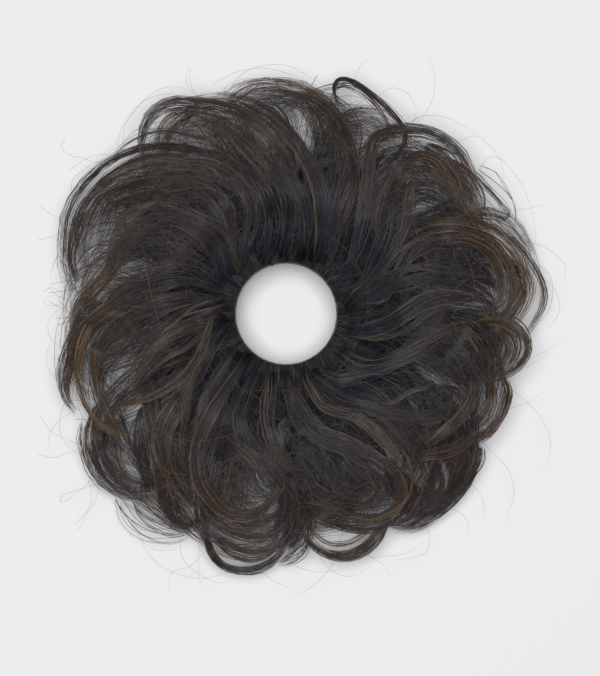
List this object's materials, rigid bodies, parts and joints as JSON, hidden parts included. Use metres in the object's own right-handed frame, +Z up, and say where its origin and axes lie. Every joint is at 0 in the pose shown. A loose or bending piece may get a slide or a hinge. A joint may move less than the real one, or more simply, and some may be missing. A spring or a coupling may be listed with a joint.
{
  "type": "scrunchie hairpiece",
  "caption": "Ring-shaped hairpiece of loose curls sewn round an elastic, worn over a bun or a ponytail.",
  "frame": {"origin": "on the surface that it lies on, in the middle of the outline", "axes": "+Z up out of the surface, +Y towards the top of the picture, +X to the right"},
  "size_m": [0.1651, 0.1702, 0.0453],
  "materials": {
    "hair": "dark brown curly hair with a soft silky sheen",
    "elastic": "woven cover over an elastic core, matt black"
  },
  "bodies": {
    "root": {"elastic_ring": "elastic", "lower_weft": "hair", "middle_weft": "hair", "upper_weft": "hair"}
  },
  "joints": []
}
